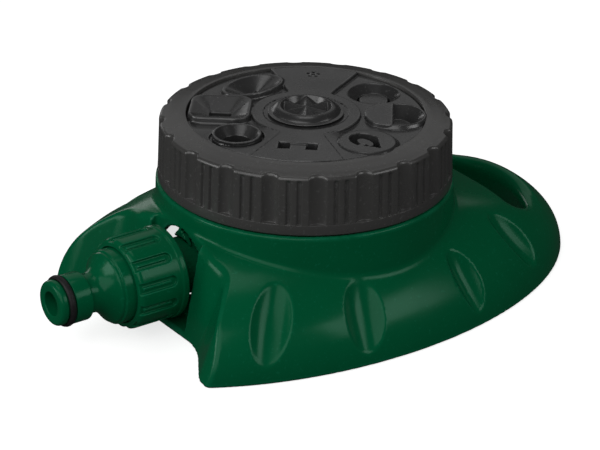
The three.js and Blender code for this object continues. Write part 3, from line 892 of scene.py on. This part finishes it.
class Nodes:
    """Short hand for building one material's nodes."""

    def __init__(self, name):
        self.material = bpy.data.materials.new(name)
        self.material.use_nodes = True
        self.tree = self.material.node_tree
        self.shader = self.tree.nodes["Principled BSDF"]
        self.place = self.tree.nodes.new("ShaderNodeTexCoord").outputs["Object"]

    def new(self, kind, **sockets):
        node = self.tree.nodes.new(kind)
        for name, value in sockets.items():
            node.inputs[name.replace("_", " ")].default_value = value
        return node

    def link(self, source, target):
        self.tree.links.new(source, target)

    def noise(self, scale, detail=3.0, roughness=0.5, stretch=None):
        node = self.new("ShaderNodeTexNoise", Scale=scale, Detail=detail, Roughness=roughness)
        if stretch is None:
            self.link(self.place, node.inputs["Vector"])
        else:
            mapping = self.new("ShaderNodeMapping", Scale=stretch)
            self.link(self.place, mapping.inputs["Vector"])
            self.link(mapping.outputs["Vector"], node.inputs["Vector"])
        return node.outputs["Fac"]

    def spread(self, source, low, high, to_low, to_high):
        node = self.new("ShaderNodeMapRange")
        node.inputs["From Min"].default_value = low
        node.inputs["From Max"].default_value = high
        node.inputs["To Min"].default_value = to_low
        node.inputs["To Max"].default_value = to_high
        self.link(source, node.inputs["Value"])
        return node.outputs["Result"]

    def mix(self, share, a, b):
        node = self.tree.nodes.new("ShaderNodeMix")
        node.data_type = "RGBA"
        for socket, value in ((node.inputs["A"], a), (node.inputs["B"], b)):
            if isinstance(value, tuple):
                socket.default_value = value
            else:
                self.link(value, socket)
        self.link(share, node.inputs["Factor"])
        return node.outputs["Result"]

    def bump(self, layers):
        """Stacks (height, strength, distance) layers into one normal."""
        normal = None
        for height, strength, distance in layers:
            node = self.new("ShaderNodeBump", Strength=strength, Distance=distance)
            self.link(height, node.inputs["Height"])
            if normal is not None:
                self.link(normal, node.inputs["Normal"])
            normal = node.outputs["Normal"]
        self.link(normal, self.shader.inputs["Normal"])


def moulded_plastic(name, base, deep, speck_and_edge_highlight, rough, grain, specular=0.5, tint=(1, 1, 1, 1)):
    """Injection-moulded plastic: faint mottling, fine grain, dulled patches and a painted highlight that
    lightens convex edges.
    """
    n = Nodes(name)
    cloud = n.spread(n.noise(22, 4), 0.35, 0.68, 0, 1)
    colour = n.mix(cloud, base, deep)
    speck = n.spread(n.noise(900, 2), 0.62, 0.74, 0, 0.35)
    colour = n.mix(speck, colour, speck_and_edge_highlight)
    # Painted highlight: convex edges, found by pointiness and broken up by noise, are lightened towards the
    # speck colour to stand for light caught on the edges.
    point = n.tree.nodes.new("ShaderNodeNewGeometry").outputs["Pointiness"]
    edge_highlight_breakup = n.noise(160, 3, 0.65)
    edge = n.spread(point, 0.515, 0.56, 0, 1)
    edge_highlight = n.tree.nodes.new("ShaderNodeMath")
    edge_highlight.operation = "MULTIPLY"
    n.link(edge, edge_highlight.inputs[0])
    n.link(n.spread(edge_highlight_breakup, 0.38, 0.62, 0.1, 0.6), edge_highlight.inputs[1])
    colour = n.mix(edge_highlight.outputs["Value"], colour, speck_and_edge_highlight)
    n.link(colour, n.shader.inputs["Base Color"])
    n.link(n.spread(n.noise(48, 5, 0.6), 0.3, 0.7, rough - 0.05, rough + 0.07), n.shader.inputs["Roughness"])
    n.shader.inputs["Specular IOR Level"].default_value = specular
    n.shader.inputs["Specular Tint"].default_value = tint
    n.bump([
        (n.noise(2600, 2), grain, 0.00005),
        (n.noise(120, 3), 0.06, 0.0002),
    ])
    return n.material


def rubber(name, base, dusty):
    """Dark rubber with a faint dusty bloom."""
    n = Nodes(name)
    bloom = n.spread(n.noise(260, 4, 0.6), 0.45, 0.75, 0, 0.6)
    n.link(n.mix(bloom, base, dusty), n.shader.inputs["Base Color"])
    n.link(n.spread(n.noise(500, 3), 0.3, 0.7, 0.42, 0.62), n.shader.inputs["Roughness"])
    n.shader.inputs["Specular IOR Level"].default_value = 0.4
    n.bump([(n.noise(3200, 2), 0.25, 0.00005)])
    return n.material


def turned_steel(name, base, dark):
    """Zinc-plated steel with fine tool marks round its axis."""
    n = Nodes(name)
    marks = n.noise(60, 2, 0.5, stretch=(4, 4, 260))
    n.link(n.mix(n.spread(marks, 0.35, 0.65, 0, 1), base, dark), n.shader.inputs["Base Color"])
    n.link(n.spread(n.noise(300, 4), 0.3, 0.7, 0.2, 0.36), n.shader.inputs["Roughness"])
    n.shader.inputs["Metallic"].default_value = 1.0
    n.bump([(marks, 0.2, 0.00005)])
    return n.material


def floor_material(name):
    """A pale matt floor that glows a little, so that it meets the white surround."""
    n = Nodes(name)
    tone = n.spread(n.noise(3, 2), 0.3, 0.7, 0, 1)
    n.link(n.mix(tone, linear(243, 243, 243), linear(247, 247, 247)), n.shader.inputs["Base Color"])
    n.shader.inputs["Roughness"].default_value = 0.85
    n.shader.inputs["Specular IOR Level"].default_value = 0.1
    n.shader.inputs["Emission Color"].default_value = (1, 1, 1, 1)
    n.shader.inputs["Emission Strength"].default_value = 0.72
    return n.material


green_gloss = (0.55, 1, 0.8, 1)
green = moulded_plastic(
    "green_moulded_plastic", (0, 0.122, 0.046, 1), (0, 0.108, 0.04, 1), (0.01, 0.2, 0.1, 1),
    rough=0.2, grain=0.06, specular=0.26, tint=green_gloss)
green_inner = moulded_plastic(
    "green_inner_plastic", (0, 0.125, 0.048, 1), (0, 0.11, 0.042, 1), (0.02, 0.2, 0.1, 1),
    rough=0.34, grain=0.2, specular=0.4)
black = moulded_plastic(
    "black_moulded_plastic", (0.035, 0.035, 0.0353, 1), (0.029, 0.029, 0.0293, 1), (0.16, 0.16, 0.16, 1),
    rough=0.25, grain=0.3, specular=0.95)
ring_black = moulded_plastic(
    "black_ring_plastic", (0.07, 0.069, 0.067, 1), (0.06, 0.059, 0.058, 1), (0.18, 0.18, 0.18, 1),
    rough=0.28, grain=0.3, specular=0.8)
# A darker copy of the black plastic for the lower plate and plug seen down the bore: painted shade for the
# dark inside of the turret.
black_inner_painted_shade = moulded_plastic(
    "black_inner_plastic_painted_shade", (0.02, 0.02, 0.0203, 1), (0.015, 0.015, 0.0153, 1), (0.06, 0.06, 0.06, 1),
    rough=0.42, grain=0.35, specular=0.3)
white = moulded_plastic(
    "white_acetal", linear(226, 225, 218), linear(216, 214, 205), linear(240, 239, 234),
    rough=0.35, grain=0.15)
seal_rubber = rubber("black_rubber", (0.012, 0.012, 0.0125, 1), (0.035, 0.035, 0.036, 1))
steel = turned_steel("zinc_plated_steel", (0.62, 0.63, 0.65, 1), (0.42, 0.43, 0.45, 1))
floor_paint = floor_material("pale_floor")


def dress(piece, material):
    """Gives a piece its one material."""
    piece.data.materials.clear()
    piece.data.materials.append(material)


# ---------- the model ----------

dress(build_base(), green)
dress(build_nut(), green)
dress(build_nipple(), green)
dress(build_nipple_seal(), seal_rubber)
dress(build_grip_ring(), ring_black)
dress(build_pattern_disc(), black)
dress(build_hub_cap(), black)

CARRIED_OVER = {
    "water_channel": green_inner,
    "channel_plug": black_inner_painted_shade,
    "port_seal": seal_rubber,
    "port_spring": steel,
    "detent_plunger": white,
    "detent_spring": steel,
    "pivot_seal": seal_rubber,
    "pivot_washer": steel,
    "pivot_screw": steel,
    "inlet_gasket": seal_rubber,
    "lower_plate": black_inner_painted_shade,
}
for i in range(4):
    CARRIED_OVER[f"housing_screw_{i + 1}"] = steel
for node, material in CARRIED_OVER.items():
    dress(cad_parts[node], material)


# ---------- floor, light and camera ----------

def aimed(thing, place, target):
    """Stands a light or camera at a place, facing the target."""
    thing.location = place
    thing.rotation_mode = "QUATERNION"
    thing.rotation_quaternion = (Vector(target) - Vector(place)).to_track_quat("-Z", "Y")


def build_floor():
    half = 6.0
    corners = [(-half, -half, 0), (half, -half, 0), (half, half, 0), (-half, half, 0)]
    mesh = bpy.data.meshes.new("studio_floor")
    mesh.from_pydata([(x, y, z - 0.0002) for x, y, z in corners], [], [(0, 1, 2, 3)])
    floor = bpy.data.objects.new("studio_floor", mesh)
    bpy.context.scene.collection.objects.link(floor)
    dress(floor, floor_paint)
    floor.visible_glossy = False
    floor.visible_diffuse = False


def soft_light(name, place, size, power):
    """An area light aimed at the middle of the model: place and size in metres, power in watts."""
    data = bpy.data.lights.new(name, "AREA")
    data.shape = "RECTANGLE"
    data.size = size[0]
    data.size_y = size[1]
    data.energy = power
    light = bpy.data.objects.new(name, data)
    bpy.context.scene.collection.objects.link(light)
    aimed(light, place, (0, 0, 0.03))


def build_lights():
    """A white surround for the eye, a dim one for the model, four softboxes and two panels behind."""
    world = bpy.data.worlds.new("studio")
    world.use_nodes = True
    nodes = world.node_tree.nodes
    links = world.node_tree.links
    dim = nodes["Background"]
    dim.inputs["Color"].default_value = (1, 1, 1, 1)
    bright = nodes.new("ShaderNodeBackground")
    bright.inputs["Strength"].default_value = 1.0
    path = nodes.new("ShaderNodeLightPath")
    fill = nodes.new("ShaderNodeMath")
    fill.operation = "MULTIPLY_ADD"
    fill.inputs[1].default_value = 0.1
    fill.inputs[2].default_value = 0.02
    links.new(path.outputs["Is Diffuse Ray"], fill.inputs[0])
    links.new(fill.outputs["Value"], dim.inputs["Strength"])
    mix = nodes.new("ShaderNodeMixShader")
    links.new(path.outputs["Is Camera Ray"], mix.inputs["Fac"])
    links.new(dim.outputs["Background"], mix.inputs[1])
    links.new(bright.outputs["Background"], mix.inputs[2])
    links.new(mix.outputs["Shader"], nodes["World Output"].inputs["Surface"])
    bpy.context.scene.world = world
    soft_light("key_softbox", (-0.86, -0.46, 0.74), (1.1, 1.1), 4.8)
    soft_light("front_right_softbox", (0.6, -1.0, 0.74), (0.8, 0.5), 2.6)
    soft_light("overhead_softbox", (0.12, 0.2, 1.3), (0.5, 0.5), 0.9)
    soft_light("left_softbox", (-1.2, 0.42, 0.5), (0.6, 0.6), 3.4)
    soft_light("low_back_panel", (0.25, 1.6, 0.24), (0.7, 0.3), 0.8)
    soft_light("high_back_panel", (0.8, 1.1, 1.06), (1.5, 1.1), 1.6)
    bpy.context.scene.view_settings.view_transform = "Standard"


def build_camera():
    """The photo's view: a long lens, a little under 26 degrees above level, tilted by about a degree."""
    data = bpy.data.cameras.new("camera")
    data.lens = 158.27
    data.sensor_width = 36
    camera = bpy.data.objects.new("camera", data)
    bpy.context.scene.collection.objects.link(camera)
    azimuth = math.radians(-35.904)
    elevation = math.radians(25.81)
    distance = 0.9339
    target = Vector((turret_spot - 0.00114, 0.00082, 0.02079))
    back = Vector((
        math.sin(azimuth) * math.cos(elevation),
        -math.cos(azimuth) * math.cos(elevation),
        math.sin(elevation),
    ))
    aimed(camera, target + back * distance, target)
    roll = Vector((0, 0, 1))
    tilt = math.radians(0.966)
    camera.rotation_quaternion = camera.rotation_quaternion @ Quaternion(roll, tilt)
    bpy.context.scene.camera = camera


build_floor()
build_lights()
build_camera()
